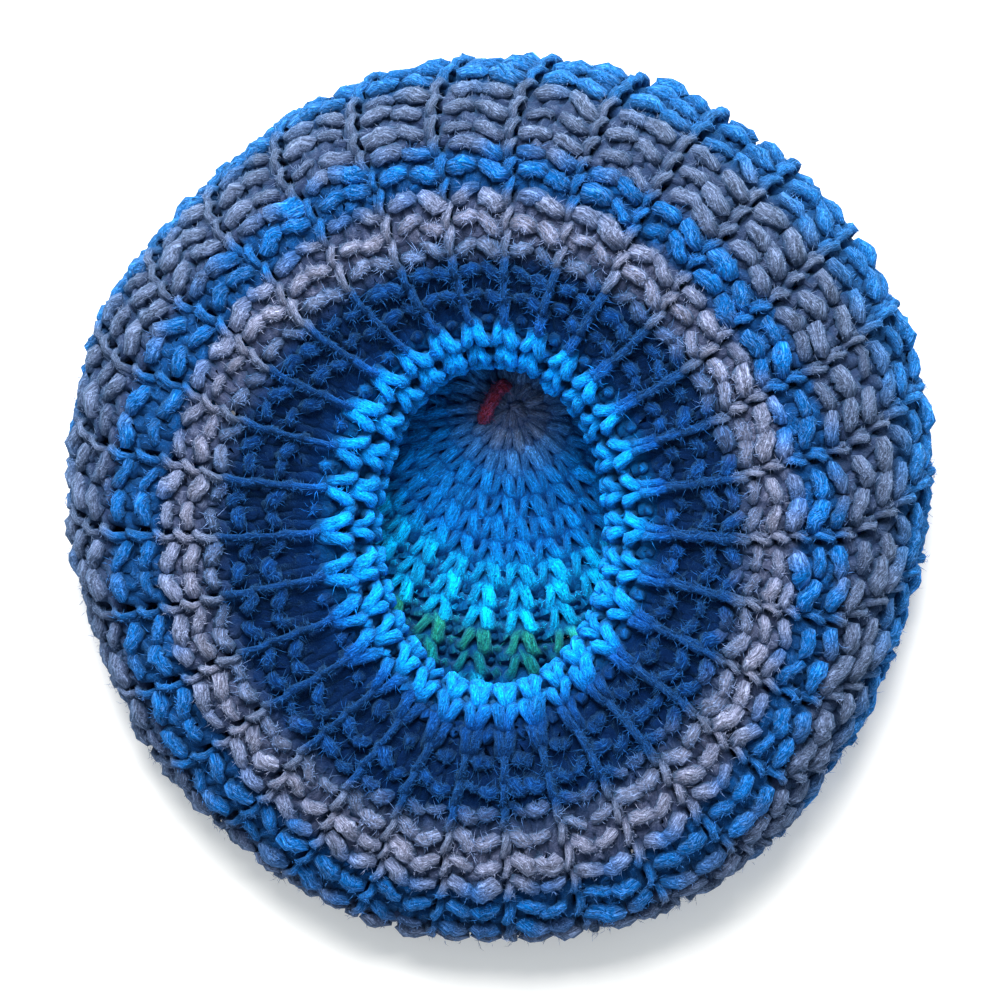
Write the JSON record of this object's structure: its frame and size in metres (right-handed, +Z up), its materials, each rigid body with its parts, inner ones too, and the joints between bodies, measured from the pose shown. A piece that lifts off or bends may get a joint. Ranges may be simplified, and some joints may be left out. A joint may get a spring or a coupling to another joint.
{
  "type": "knit beret",
  "caption": "Chunky hand-knit wool beret lying on its crown, with a ribbed band round the head opening, a ribbed underside and a flat round crown in striped blues.",
  "frame": {"origin": "on the surface that the crown lies on, below the middle of the outline", "axes": "+Z up out of the head opening, +Y from the flatter side of the lying beret to its fuller side"},
  "size_m": [0.2682, 0.273, 0.0559],
  "materials": {
    "band_knit": "matte wool rib, turquoise at the edge and navy behind it",
    "underside_knit": "matte wool rib in stripes of grey and blue",
    "crown_knit": "matte wool in stripes of blue, turquoise and green, wine red at the centre"
  },
  "bodies": {
    "root": {"band": "band_knit", "underside": "underside_knit", "crown": "crown_knit"}
  },
  "joints": []
}
